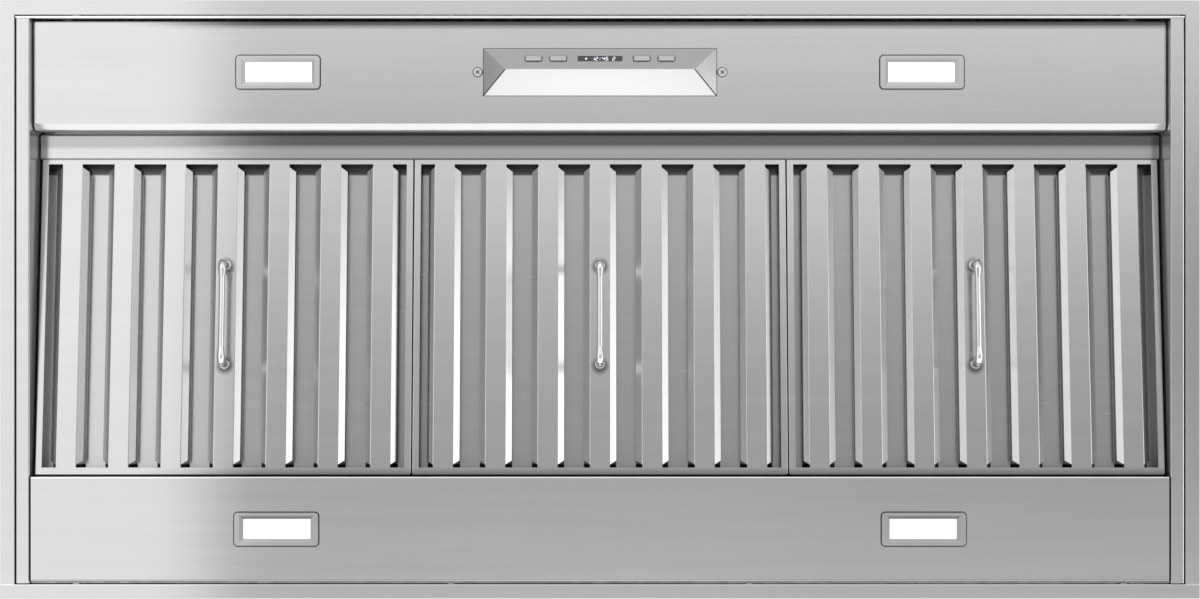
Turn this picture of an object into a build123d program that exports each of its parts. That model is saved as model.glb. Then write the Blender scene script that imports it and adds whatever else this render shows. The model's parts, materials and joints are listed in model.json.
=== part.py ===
"""A range hood insert for three baffle filters, built into a cabinet and seen from below.

The origin is the centre of the seating plane: the upper face of the trim flange, which bears on the
underside of the cabinet. +X is to the right, +Y to the wall and +Z up. Lengths are in millimetres.
"""

from build123d import *
from math import atan2, cos, degrees, radians, sin, tan
import os

os.makedirs("parts", exist_ok=True)

# ---- Trim and pan ----
rim_width = 1178.0
rim_depth = 587.0
rim_corner = 1.5
trim_flange = 13.8
trim_upstand = 24.0
trim_gap = 0.9
trim_bend = 0.9
fit = 0.3
sheet = 1.2
bend = 1.6
pan_height = 100.0
side_strip = 13.8
side_return = 58.0
front_hem = 15.0
top_flange = 18.0
panel_gap = 1.4
rear_wall_lift = 5.0
clip_width = 6.0
clip_hook = 4.0
clip_depth = 6.0
clip_inner_x = 146.5
clip_inset = 59.3
screw_radius = 2.75
screw_spacing = 260.0
screw_level = 74.0
rib_length = 187.0
rib_width = 12.0
rib_height = 2.4
rib_taper = 45.0

# ---- Panels seen from below: recess is the height of a face above the face of the rim ----
front_panel_recess = 13.3
front_panel_lip = 11.0
front_panel_depth = 107.7
panel_bevel_run = 6.7
panel_bevel_rise = 5.2
ledge_recess = 43.2
ledge_joint = 2.6
ledge_depth = 24.7
ledge_flange_recess = 60.0
fold = 20.0
rear_panel_depth = 103.3
rear_panel_lip = 7.0
rear_panel_fold = 12.0

# ---- Filters ----
filter_count = 3
filter_gap = 1.0
filter_side_gap = 3.0
filter_rear_gap = 0.9
filter_tilt = 6.5
filter_overlap = 3.0
filter_depth = 20.0
filter_sheet = 0.8
filter_border = 6.6
filter_end_border = 7.4
filter_corner = 2.0
filter_edge = 1.0
seat_gap = 0.3
hinge_lead = 0.4
web_count = 7
web_width = 19.7
side_slot = 14.0
flank_run = 6.2
flank_rise = 4.7
flank_relief = 3.0
flank_chamfer = 4.8
baffle_run = 6.6
baffle_drop = 10.0
baffle_shift = 5.7
baffle_front_gap = 10.7
baffle_end_gap = 0.4
baffle_bend = 1.4
back_ring = 15.0
back_strap = 16.0
catch_width = 16.0
catch_spacing = 220.0
catch_sheet = 0.5
catch_reach = 2.6
catch_rise = 8.0

# ---- Filter handles ----
handle_shift = -0.3
handle_span = 98.5
handle_reach = 26.7
handle_bar_radius = 2.85
handle_leg_radius = 4.0
handle_bend = 6.0
handle_taper = 9.0
handle_foot_radius = 4.9
handle_foot = 1.2
handle_screw_radius = 2.0
handle_screw_head_radius = 3.7
handle_screw_head = 2.4
handle_thread = 10.0

# ---- Lamps ----
lamp_inset = 242.5
bezel_length = 83.4
bezel_width = 33.4
bezel_corner = 4.0
bezel_thickness = 1.5
bezel_round = 0.75
bezel_slope = 3.0
bezel_slope_depth = 1.0
bezel_sleeve = 8.0
bezel_wall = 1.6
lens_length = 66.6
lens_width = 20.0
lens_lip = 1.6
lens_thickness = 2.5
lamp_cut_length = 74.0
lamp_cut_width = 27.6
lamp_housing_rim = 4.0
lamp_housing_height = 18.0
fin_count = 6
fin_height = 6.0
fin_thickness = 1.5

# ---- Control console ----
console_length = 231.0
console_width = 47.4
console_height = 13.0
console_ridge_length = 186.4
console_ridge_shift = -1.9
console_wall = 1.6
console_collar = 7.0
console_cut_length = 223.0
console_cut_width = 39.4
console_screw_x = 120.8
console_screw_radius = 1.75
console_screw_head_radius = 4.4
console_screw_head = 2.4
console_screw_round = 1.2
console_screw_length = 9.0
console_boss_radius = 3.5
screw_slot_length = 4.6
screw_slot_width = 0.9
screw_slot_depth = 1.2
button_length = 15.6
button_width = 5.9
button_corner = 0.7
button_edge = 0.3
button_raise = 1.2
button_seat_gap = 0.1
button_inner_x = 41.2
button_outer_x = 65.5
button_flange = 0.8
button_lap = 1.2
button_stem = 2.5
button_stem_radius = 1.5
button_travel = 0.8
switch_size = 6.0
switch_height = 3.2
switch_plunger = 0.9
board_length = 200.0
board_width = 16.0
board_thickness = 1.6
board_post_x = 90.0
board_post_radius = 3.0
display_length = 43.8
display_width = 6.4
control_box_height = 26.0
control_box_flange = 6.0

# ---- Blower ----
box_length = 400.0
box_depth = 310.0
box_height = 215.0
box_flange = 16.0
box_corner = 5.0
wheel_radius = 82.0
wheel_half = 70.0
wheel_tip_gap = 8.0
wheel_side_gap = 10.0
volute_step = 16.0
tongue_angle = 50.0
scroll_floor_gap = 4.0
outlet_flange = 12.0
blade_count = 30
blade_inner_radius = 66.0
blade_thickness = 1.0
blade_lean = 8.0
blade_root_lean = 1.6
wheel_disc = 1.5
wheel_ring = 1.5
hub_radius = 13.0
hub_length = 24.0
inlet_radius = 62.0
inlet_lip = 6.0
inlet_flange = 12.0
inlet_depth = 9.0
motor_radius = 44.0
motor_nose_radius = 15.0
motor_nose = 5.0
motor_disc_gap = 6.0
motor_tail = 8.0
motor_round = 4.0
shaft_radius = 4.0
shaft_play = 0.05
shaft_depth = 50.0
bracket_bar = 3.0
bracket_band = 14.0
bracket_wall = 2.4
bracket_post = 12.0
bracket_post_radius = 5.0
bracket_arm = 12.0
bracket_arms = 3

# ---- Duct ----
collar_radius = 101.0
collar_wall = 1.0
collar_height = 50.0
collar_flange = 10.0
collar_y = 52.0
transition_height = 34.0
damper_level = 12.0
damper_sheet = 0.8
damper_gap = 1.5
damper_rod_radius = 2.0
damper_play = 0.08
knuckle_radius = 3.0
knuckle_length = 20.0
rear_knuckle_x = 70.0
front_knuckle_x = 40.0
damper_stop = 5.0
damper_stop_width = 12.0

# ---- Junction box ----
junction_inset_x = 144.0
junction_inset_y = 82.0
junction_length = 100.0
junction_width = 70.0
junction_height = 46.0
knockout_radius = 11.1
wire_hole_radius = 12.0
cover_lap = 1.5
cover_edge = 0.4

# ---- Sizes that follow from the ones above ----
face_z = -sheet
wall_top = pan_height - sheet
opening_x = rim_width / 2 - trim_flange
opening_y = rim_depth / 2 - trim_flange
pan_x = opening_x - trim_gap
pan_y = opening_y - trim_gap
bay_x = pan_x - side_strip
panel_x = bay_x - panel_gap
flange_x = pan_x - top_flange - fit
clip_outer_x = pan_x - clip_inset
front_y = -(pan_y - 2 * sheet)
front_panel_front_y = front_y + panel_gap
panel_return_y = front_panel_front_y + front_panel_depth
bevel_y = panel_return_y - panel_bevel_run
rear_panel_back_y = pan_y - sheet - seat_gap
rear_panel_front_y = rear_panel_back_y - rear_panel_depth
front_panel_z = face_z + front_panel_recess
ledge_z = face_z + ledge_recess
flange_z = face_z + ledge_flange_recess
ledge_front_y = panel_return_y + ledge_joint
lip_y = ledge_front_y + ledge_depth
hinge_y = lip_y + hinge_lead
hinge_z = ledge_z + sheet + seat_gap
tilt = radians(filter_tilt)
filter_pitch = (2 * (bay_x - filter_side_gap) + filter_gap) / filter_count
filter_width = filter_pitch - filter_gap
filter_reach = (rear_panel_front_y - filter_rear_gap - hinge_y) / cos(tilt)
filter_length = filter_reach + filter_overlap
filter_middle = (filter_reach - filter_overlap) / 2
slot_start = filter_end_border - filter_overlap
slot_end = filter_reach - filter_end_border
slot_middle = (slot_start + slot_end) / 2
slot_length = slot_end - slot_start
slots_width = filter_width - 2 * filter_border
web_pitch = (slots_width - 2 * side_slot - web_width) / (web_count - 1)
handle_centre = filter_middle + handle_shift
filter_back_y = hinge_y + filter_reach * cos(tilt) + filter_depth * sin(tilt)
filter_back_z = hinge_z - filter_reach * sin(tilt) + filter_depth * cos(tilt)
rear_bulkhead_y = filter_back_y + seat_gap + catch_sheet + catch_reach
lamp_x = bay_x - lamp_inset
front_lamp_y = (front_panel_front_y + bevel_y) / 2
rear_lamp_y = (rear_panel_front_y + rear_panel_back_y) / 2
console_y = front_lamp_y
blower_y = (ledge_front_y + rear_bulkhead_y) / 2
junction_x = pan_x - junction_inset_x
junction_y = -pan_y + junction_inset_y
wheel_z = pan_height + scroll_floor_gap + sheet + wheel_radius + wheel_tip_gap + volute_step
wheel_y = blower_y - 1.5 * volute_step
volute_radius = wheel_radius + wheel_tip_gap
scroll_half = wheel_half + wheel_side_gap
box_top = pan_height + box_height
outlet_z = box_top - sheet
outlet_front_y = wheel_y + volute_radius * cos(radians(tongue_angle))
outlet_back_y = wheel_y + volute_radius + 3 * volute_step
outlet_y = (outlet_front_y + outlet_back_y) / 2
outlet_depth = outlet_back_y - outlet_front_y
collar_z = box_top + transition_height
damper_z = collar_z + damper_level
throat_radius = collar_radius - collar_wall
bracket_x = scroll_half + sheet + bracket_post

wheel_axis = Axis((0, wheel_y, wheel_z), (1, 0, 0))


def save(piece, name):
    """Label a finished piece and write it as the node of that name."""
    piece.part.label = name
    export_step(piece.part, f"parts/{name}.step")


def across(y):
    """The X-Z plane at a given Y, with X to the right and Z up; its normal points to the front."""
    return Plane.XZ.offset(-y)


def bent_section(points, side, thickness=sheet, radius=bend):
    """Side view of a bent sheet: the outer line through the points, and one sheet to the given side."""
    with BuildSketch() as section:
        with BuildLine():
            FilletPolyline(*points, radius=radius)
            offset(amount=thickness, side=side)
        make_face()
    return section.sketch


def bent_sheet(points, side, half_width):
    """A bent sheet that runs along X, from its side view in Y and Z."""
    with BuildPart() as panel:
        with BuildSketch(Plane.YZ):
            add(bent_section(points, side))
        extrude(amount=half_width, both=True)
    return panel


# ---- Trim frame: a flat flange with an upstand on its inner edge ----
with BuildPart() as trim_frame:
    with BuildSketch(Plane.XY.offset(face_z)):
        RectangleRounded(rim_width, rim_depth, rim_corner)
        Rectangle(2 * opening_x, 2 * opening_y, mode=Mode.SUBTRACT)
    extrude(amount=sheet)
    with BuildSketch(Plane.XY.offset(face_z)):
        Rectangle(2 * (opening_x + sheet), 2 * (opening_y + sheet))
        Rectangle(2 * opening_x, 2 * opening_y, mode=Mode.SUBTRACT)
    extrude(amount=sheet + trim_upstand)
    fillet(trim_frame.faces().sort_by(Axis.Z)[0].inner_wires()[0].edges(), radius=trim_bend)
save(trim_frame, "trim_frame")

# ---- Trim clips: each one hooks over the upstand and fills the joint between trim and pan ----
with BuildPart() as trim_clips:
    with BuildSketch(Plane.YZ):
        with Locations((pan_y, face_z + bend)):
            Rectangle(trim_gap, sheet + trim_upstand - bend, align=(Align.MIN, Align.MIN))
        with Locations((pan_y, trim_upstand)):
            Rectangle(trim_gap + 2 * sheet, sheet, align=(Align.MIN, Align.MIN))
        with Locations((pan_y + trim_gap + sheet, trim_upstand - clip_depth)):
            Rectangle(sheet, clip_depth, align=(Align.MIN, Align.MIN))
    extrude(amount=clip_width / 2, both=True)
    hook = trim_clips.part
with BuildPart() as trim_clip_set:
    with Locations(*((x, 0) for x in (-clip_outer_x, -clip_inner_x, clip_inner_x, clip_outer_x))):
        add(hook)
    mirror(about=Plane.XZ)
save(trim_clip_set, "trim_clips")


# ---- Side panels: wall, top flange, and the strip and return that show from below ----
side_outline = [
    (pan_x - top_flange, wall_top),
    (pan_x, wall_top),
    (pan_x, face_z),
    (bay_x, face_z),
    (bay_x, face_z + side_return),
]
with BuildPart() as side_panel_right:
    with BuildSketch(across(front_y)):
        add(bent_section(side_outline, Side.RIGHT))
    extrude(amount=-(pan_y - front_y))
    with BuildSketch(Plane.YZ.offset(pan_x)):
        with Locations((0, screw_level)):
            with GridLocations(screw_spacing, 0, 2, 1):
                Circle(screw_radius)
    extrude(amount=-2 * sheet, mode=Mode.SUBTRACT)
save(side_panel_right, "side_panel_right")
with BuildPart() as side_panel_left:
    add(mirror(side_panel_right.part, about=Plane.YZ, mode=Mode.PRIVATE))
save(side_panel_left, "side_panel_left")

# ---- Front wall: a hemmed lower edge, and a flange under the top panel ----
with BuildPart() as front_wall:
    with BuildSketch(Plane.YZ) as front_section:
        with Locations((-pan_y, face_z)):
            Rectangle(sheet, wall_top - face_z, align=(Align.MIN, Align.MIN))
            Rectangle(2 * sheet, front_hem, align=(Align.MIN, Align.MIN))
        fillet(front_section.vertices().group_by(Axis.Y)[0], radius=trim_bend)
    extrude(amount=pan_x, both=True)
    with BuildSketch(Plane.XY.offset(wall_top - sheet)):
        with Locations((0, -pan_y)):
            Rectangle(2 * flange_x, top_flange, align=(Align.CENTER, Align.MIN))
    extrude(amount=sheet)
save(front_wall, "front_wall")

# ---- Rear wall: notched round the side returns ----
rear_wall_height = wall_top - face_z - rear_wall_lift
rear_wall_ears = wall_top - face_z - side_return - fit
with BuildPart() as rear_wall:
    with BuildSketch(across(pan_y)):
        with Locations((0, wall_top)):
            Rectangle(2 * bay_x, rear_wall_height, align=(Align.CENTER, Align.MAX))
            Rectangle(2 * (pan_x - sheet), rear_wall_ears, align=(Align.CENTER, Align.MAX))
            Rectangle(2 * pan_x, sheet + bend, align=(Align.CENTER, Align.MAX), mode=Mode.SUBTRACT)
            Rectangle(2 * flange_x, sheet + bend, align=(Align.CENTER, Align.MAX))
    extrude(amount=sheet)
    with BuildSketch(Plane.XY.offset(wall_top - sheet)):
        with Locations((0, pan_y)):
            Rectangle(2 * flange_x, top_flange, align=(Align.CENTER, Align.MAX))
    extrude(amount=sheet)
save(rear_wall, "rear_wall")

# ---- Top panel: opening below the blower, wire hole, and two pressed ribs each side ----
rib_x = (pan_x + box_length / 2) / 2
with BuildPart() as top_panel:
    with BuildSketch(Plane.XY.offset(wall_top)):
        RectangleRounded(2 * pan_x, 2 * pan_y, rim_corner)
        with Locations((0, blower_y)):
            Rectangle(box_length - 2 * sheet, box_depth - 2 * sheet, mode=Mode.SUBTRACT)
        with Locations((junction_x, junction_y)):
            Circle(wire_hole_radius, mode=Mode.SUBTRACT)
    extrude(amount=sheet)
    with BuildSketch(Plane.XY.offset(pan_height)):
        with Locations((0, blower_y + box_depth / 4)):
            with GridLocations(2 * rib_x, box_depth / 2, 2, 2):
                SlotOverall(rib_length, rib_width)
    extrude(amount=rib_height, taper=rib_taper)
save(top_panel, "top_panel")


# ---- Control console: a hip roof that stands down from the front panel ----
console_ridge_y = console_y + console_ridge_shift
console_front_y = console_y - console_width / 2
slope = atan2(console_height, console_ridge_y - console_front_y)
console_face = Plane(
    origin=(0, (console_front_y + console_ridge_y) / 2, front_panel_z - console_height / 2),
    x_dir=(1, 0, 0),
    z_dir=(0, -sin(slope), -cos(slope)),
)
button_xs = (-button_outer_x, -button_inner_x, button_inner_x, button_outer_x)
button_names = ("button_power", "button_fan", "button_lamp", "button_timer")
collar_length = console_cut_length - 2 * fit
collar_width = console_cut_width - 2 * fit
collar_top = front_panel_z + console_collar

with BuildPart() as console_roof:
    with BuildSketch(Plane.YZ):
        with BuildLine():
            Polyline(
                (console_front_y, front_panel_z),
                (console_ridge_y, front_panel_z - console_height),
                (console_y + console_width / 2, front_panel_z),
                close=True,
            )
        make_face()
    extrude(amount=console_length / 2, both=True)
    with BuildSketch(Plane.XZ):
        with BuildLine():
            Polyline(
                (-console_length / 2, front_panel_z),
                (-console_ridge_length / 2, front_panel_z - console_height),
                (console_ridge_length / 2, front_panel_z - console_height),
                (console_length / 2, front_panel_z),
                close=True,
            )
        make_face()
    extrude(amount=rim_depth, both=True, mode=Mode.INTERSECT)

with BuildPart() as console_cavity:
    add(console_roof.part)
    offset(amount=-console_wall)

with BuildPart() as console_housing:
    add(console_roof.part)
    with BuildSketch(Plane.XY.offset(front_panel_z)):
        with Locations((0, console_y)):
            Rectangle(collar_length, collar_width)
    extrude(amount=console_collar)
    add(console_cavity.part, mode=Mode.SUBTRACT)
    with BuildSketch(Plane.XY.offset(front_panel_z - 2 * console_wall)):
        with Locations((0, console_y)):
            Rectangle(collar_length - 2 * console_wall, collar_width - 2 * console_wall)
    extrude(amount=2 * console_wall + console_collar, mode=Mode.SUBTRACT)
    with BuildSketch(console_face):
        with Locations(*((x, 0) for x in button_xs)):
            Rectangle(button_length + 2 * fit, button_width + 2 * fit)
        Rectangle(display_length + fit, display_width + fit)
    extrude(amount=-2 * console_wall, mode=Mode.SUBTRACT)
save(console_housing, "console_housing")

# ---- Push buttons: cap, retaining flange and stem, sliding square to the console's front face ----
flange_depth = console_wall + button_seat_gap
for name, x in zip(button_names, button_xs):
    with BuildPart() as button:
        with BuildSketch(console_face.offset(-flange_depth)):
            with Locations((x, 0)):
                RectangleRounded(button_length, button_width, button_corner)
        extrude(amount=flange_depth + button_raise)
        fillet(button.faces().sort_by(Axis((0, 0, 0), console_face.z_dir))[-1].edges(), radius=button_edge)
        with BuildSketch(console_face.offset(-flange_depth)):
            with Locations((x, 0)):
                Rectangle(button_length + 2 * button_lap, button_width + 2 * button_lap)
        extrude(amount=-button_flange)
        with BuildSketch(console_face.offset(-flange_depth - button_flange)):
            with Locations((x, 0)):
                Circle(button_stem_radius)
        extrude(amount=-button_stem)
    save(button, name)

# ---- Display window: flush in its slot, with a lip behind ----
with BuildPart() as display_window:
    with BuildSketch(console_face.offset(-console_wall)):
        Rectangle(display_length, display_width)
    extrude(amount=console_wall - fit / 2)
    with BuildSketch(console_face.offset(-console_wall)):
        Rectangle(display_length + 2 * button_lap, display_width + 2 * button_lap)
    extrude(amount=-button_flange)
save(display_window, "display_window")

# ---- Control board: parallel to the console's front face, with a switch under each button ----
switch_top = flange_depth + button_flange + button_stem + button_travel + fit / 2
board_top = switch_top + switch_plunger + switch_height
with BuildPart() as control_board:
    with BuildSketch(console_face.offset(-board_top)):
        Rectangle(board_length, board_width)
    extrude(amount=-board_thickness)
    with BuildSketch(console_face.offset(-board_top)):
        with Locations(*((x, 0) for x in button_xs)):
            Rectangle(switch_size, switch_size)
        Rectangle(display_length, display_width)
    extrude(amount=switch_height)
    with BuildSketch(console_face.offset(-board_top + switch_height)):
        with Locations(*((x, 0) for x in button_xs)):
            Circle(button_stem_radius)
    extrude(amount=switch_plunger)
save(control_board, "control_board")

# ---- Control box: sits on the front panel, takes the console's screws and holds the board ----
box_base = front_panel_z + sheet
inner_length = console_cut_length + fit
inner_width = console_cut_width + fit
tab_length = 2 * (console_screw_x + control_box_flange)
post_reach = (control_box_height + board_top + console_height) / cos(slope)
with BuildPart() as control_box:
    with BuildSketch(Plane.XY.offset(box_base)):
        with Locations((0, console_y)):
            Rectangle(inner_length + 2 * sheet, inner_width + 2 * sheet)
    extrude(amount=control_box_height)
    with BuildSketch(Plane.XY.offset(box_base)):
        with Locations((0, console_y)):
            RectangleRounded(tab_length, inner_width + 2 * control_box_flange, rim_corner)
    extrude(amount=sheet)
    with BuildSketch(Plane.XY.offset(box_base)):
        with Locations((0, console_y)):
            Rectangle(inner_length, inner_width)
    extrude(amount=control_box_height - sheet, mode=Mode.SUBTRACT)
    with BuildSketch(console_face.offset(-board_top - board_thickness)):
        with GridLocations(2 * board_post_x, 0, 2, 1):
            Circle(board_post_radius)
    extrude(amount=-post_reach)
    with BuildSketch(Plane.XY.offset(box_base + control_box_height)):
        with Locations((0, console_y)):
            Rectangle(tab_length, 2 * console_width)
    extrude(amount=post_reach, mode=Mode.SUBTRACT)
    with BuildSketch(Plane.XY.offset(box_base)):
        with Locations((0, console_y)):
            with GridLocations(2 * console_screw_x, 0, 2, 1):
                Circle(console_boss_radius)
    extrude(amount=console_screw_length - sheet)
    with BuildSketch(Plane.XY.offset(box_base)):
        with Locations((0, console_y)):
            with GridLocations(2 * console_screw_x, 0, 2, 1):
                Circle(console_screw_radius + shaft_play)
    extrude(amount=console_screw_length, mode=Mode.SUBTRACT)
save(control_box, "control_box")

# ---- Console screws: pan heads with a cross recess ----
with BuildPart() as console_screw:
    with BuildSketch(Plane.XY.offset(front_panel_z)):
        Circle(console_screw_head_radius)
    extrude(amount=-console_screw_head)
    fillet(console_screw.edges().group_by(Axis.Z)[0], radius=console_screw_round)
    with BuildSketch(Plane.XY.offset(front_panel_z)):
        Circle(console_screw_radius)
    extrude(amount=console_screw_length)
    with BuildSketch(Plane.XY.offset(front_panel_z - console_screw_head)):
        Rectangle(screw_slot_length, screw_slot_width, rotation=45)
        Rectangle(screw_slot_length, screw_slot_width, rotation=-45)
    extrude(amount=screw_slot_depth, mode=Mode.SUBTRACT)
with BuildPart() as console_screws:
    with Locations((-console_screw_x, console_y), (console_screw_x, console_y)):
        add(console_screw.part)
save(console_screws, "console_screws")


# ---- Front panel: lip, flat, bevel, return and flange, with the lamp and console openings ----
front_outline = [
    (front_panel_front_y, front_panel_z + front_panel_lip),
    (front_panel_front_y, front_panel_z),
    (bevel_y, front_panel_z),
    (panel_return_y, front_panel_z + panel_bevel_rise),
    (panel_return_y, flange_z),
    (panel_return_y - fold, flange_z),
]
with BuildPart() as front_panel:
    add(bent_sheet(front_outline, Side.LEFT, panel_x).part)
    with BuildSketch(Plane.XY.offset(front_panel_z)):
        with Locations((0, front_lamp_y)):
            with GridLocations(2 * lamp_x, 0, 2, 1):
                Rectangle(lamp_cut_length, lamp_cut_width)
        with Locations((0, console_y)):
            Rectangle(console_cut_length, console_cut_width)
            with GridLocations(2 * console_screw_x, 0, 2, 1):
                Circle(console_screw_radius + fit)
    extrude(amount=sheet, mode=Mode.SUBTRACT)
save(front_panel, "front_panel")

# ---- Filter ledge: its rear lip carries the front edges of the filters ----
ledge_outline = [
    (lip_y, ledge_z),
    (ledge_front_y, ledge_z),
    (ledge_front_y, flange_z),
    (ledge_front_y - fold, flange_z),
]
filter_ledge = bent_sheet(ledge_outline, Side.RIGHT, panel_x - fit)
save(filter_ledge, "filter_ledge")

# ---- Front bulkhead: hangs the front panel and ledge from the top panel ----
front_bulkhead_outline = [
    (ledge_front_y - fold, flange_z + sheet),
    (ledge_front_y + sheet, flange_z + sheet),
    (ledge_front_y + sheet, wall_top),
    (ledge_front_y - fold, wall_top),
]
front_bulkhead = bent_sheet(front_bulkhead_outline, Side.LEFT, flange_x)
save(front_bulkhead, "front_bulkhead")

# ---- Rear panel: lip, flat and fold, with the rear lamp openings ----
rear_outline = [
    (rear_panel_front_y, face_z + rear_panel_lip),
    (rear_panel_front_y, face_z),
    (rear_panel_back_y, face_z),
    (rear_panel_back_y, face_z + rear_panel_fold),
]
with BuildPart() as rear_panel:
    add(bent_sheet(rear_outline, Side.LEFT, bay_x - fit).part)
    with BuildSketch(Plane.XY.offset(face_z)):
        with Locations((0, rear_lamp_y)):
            with GridLocations(2 * lamp_x, 0, 2, 1):
                Rectangle(lamp_cut_length, lamp_cut_width)
    extrude(amount=sheet, mode=Mode.SUBTRACT)
save(rear_panel, "rear_panel")

# ---- Rear bulkhead: closes the filter bay and hangs the rear panel from the top panel ----
rear_bulkhead_outline = [
    (rear_bulkhead_y + fold, face_z + sheet),
    (rear_bulkhead_y, face_z + sheet),
    (rear_bulkhead_y, wall_top),
    (rear_bulkhead_y + fold, wall_top),
]
with BuildPart() as rear_bulkhead:
    add(bent_sheet(rear_bulkhead_outline, Side.RIGHT, bay_x - fit).part)
    with BuildSketch(Plane.XY.offset(wall_top)):
        with Locations((0, rear_bulkhead_y)):
            Rectangle(2 * bay_x, 2 * fold, align=(Align.CENTER, Align.MIN))
            Rectangle(2 * flange_x, 2 * fold, align=(Align.CENTER, Align.MIN), mode=Mode.SUBTRACT)
    extrude(amount=-sheet - bend, mode=Mode.SUBTRACT)
save(rear_bulkhead, "rear_bulkhead")


# ---- Filter catches: leaf springs on the rear bulkhead that hold the filters' back edges ----
catch_outline = [
    (rear_bulkhead_y, filter_back_z + 2 * catch_rise),
    (rear_bulkhead_y, filter_back_z + catch_rise),
    (rear_bulkhead_y - catch_reach, filter_back_z),
    (rear_bulkhead_y, filter_back_z - catch_rise),
    (rear_bulkhead_y, filter_back_z - 2 * catch_rise),
]
with BuildPart() as filter_catches:
    with BuildSketch(Plane.YZ):
        add(bent_section(catch_outline, Side.RIGHT, catch_sheet, bend))
    extrude(amount=catch_width / 2, both=True)
    leaf = filter_catches.part
with BuildPart() as filter_catch_set:
    with GridLocations(filter_pitch, 0, filter_count, 1):
        with GridLocations(catch_spacing, 0, 2, 1):
            add(leaf)
save(filter_catch_set, "filter_catches")


# ---- Baffle filters ----
def filter_plane(x):
    """Lower face of a filter: x along the hinge line on the ledge, y down to the rear."""
    return Plane(origin=(x, hinge_y, hinge_z), x_dir=(1, 0, 0), z_dir=(0, sin(tilt), cos(tilt)))


def cross_plane(plane, y):
    """Plane across a filter at y along it, with x to the right and y up out of the filter."""
    return Plane(origin=plane.from_local_coords((0, y, 0)), x_dir=plane.x_dir, z_dir=-plane.y_dir)


def channel_outline(flat, run, length, cut):
    """Plan of one channel: a flat between two flanks whose ends are cut back at an angle."""
    with BuildSketch() as outline:
        Rectangle(flat, length)
        Rectangle(flat + 2 * (run + filter_sheet), length - 2 * cut)
        make_hull()
    return outline.sketch


def face_webs(plane):
    """The webs of the pressed face, each a shallow trough with flanks that rise beside the slots."""
    half = web_width / 2
    trough = bent_section(
        [(-half - flank_run, flank_rise), (-half, 0), (half, 0), (half + flank_run, flank_rise)],
        Side.LEFT, filter_sheet, bend,
    )
    length = slot_length - 2 * flank_relief
    with BuildPart() as webs:
        with BuildSketch(cross_plane(plane, slot_start + flank_relief)):
            with GridLocations(web_pitch, 0, web_count, 1):
                add(trough)
        extrude(amount=-length)
        with BuildSketch(plane):
            with Locations((0, slot_middle)):
                with GridLocations(web_pitch, 0, web_count, 1):
                    add(channel_outline(web_width, flank_run, length, flank_chamfer))
        extrude(amount=filter_depth, mode=Mode.INTERSECT)
    return webs


def filter_face(plane):
    """The pressed face: a shallow tray with slots between its webs."""
    upward = Axis(plane.origin, plane.z_dir)
    with BuildPart() as face:
        with BuildSketch(plane):
            with Locations((0, filter_middle)):
                RectangleRounded(filter_width, filter_length, filter_corner)
        extrude(amount=filter_depth)
        fillet(face.faces().sort_by(upward)[0].edges(), radius=filter_edge)
        with BuildSketch(plane.offset(filter_sheet)):
            with Locations((0, filter_middle)):
                Rectangle(filter_width - 2 * filter_sheet, filter_length - 2 * filter_sheet)
        extrude(amount=filter_depth, mode=Mode.SUBTRACT)
        with BuildSketch(plane):
            with Locations((0, slot_middle)):
                Rectangle(slots_width, slot_length)
        extrude(amount=filter_sheet, mode=Mode.SUBTRACT)
        with BuildSketch(plane):
            with Locations((0, slot_middle)):
                with GridLocations(web_pitch, 0, web_count, 1):
                    Rectangle(web_width, slot_length)
                Rectangle(slots_width, slot_length - 2 * flank_relief, mode=Mode.SUBTRACT)
        extrude(amount=filter_sheet)
        add(face_webs(plane).part)
        with BuildSketch(plane):
            with Locations((0, handle_centre)):
                with GridLocations(0, handle_span, 1, 2):
                    Circle(handle_screw_radius + fit)
        extrude(amount=filter_sheet, mode=Mode.SUBTRACT)
    return face


def filter_baffles(plane):
    """Inverted channels over the slots: one over each gap between webs and a half one at each side."""
    top = filter_depth - filter_sheet
    foot = top - baffle_drop
    half = web_pitch / 2 - web_width / 2 - baffle_shift
    whole = bent_section(
        [(-half - baffle_run, foot), (-half, top), (half, top), (half + baffle_run, foot)],
        Side.RIGHT, filter_sheet, baffle_bend,
    )
    side_edge = filter_width / 2 - filter_sheet - baffle_end_gap
    side_floor = (web_count - 1) * web_pitch / 2 + web_width / 2 + baffle_shift
    edge_channel = bent_section(
        [(-side_edge, top), (-side_floor, top), (-side_floor + baffle_run, foot)],
        Side.RIGHT, filter_sheet, baffle_bend,
    )
    start = -filter_overlap + filter_sheet + baffle_front_gap
    length = filter_reach - filter_sheet - baffle_end_gap - start
    with BuildPart() as baffles:
        with BuildSketch(cross_plane(plane, start)):
            with GridLocations(web_pitch, 0, web_count - 1, 1):
                add(whole)
            add(edge_channel)
            add(mirror(edge_channel, about=Plane.YZ, mode=Mode.PRIVATE))
        extrude(amount=-length)
    return baffles


def filter_back_frame(plane):
    """Ring behind the baffles, with one strap across them."""
    inner_width = filter_width - 2 * filter_sheet
    inner_length = filter_length - 2 * filter_sheet
    with BuildPart() as ring:
        with BuildSketch(plane.offset(filter_depth - filter_sheet)):
            with Locations((0, filter_middle)):
                Rectangle(inner_width, inner_length)
                Rectangle(inner_width - 2 * back_ring, inner_length - 2 * back_ring, mode=Mode.SUBTRACT)
                Rectangle(inner_width, back_strap)
        extrude(amount=filter_sheet)
    return ring


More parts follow.
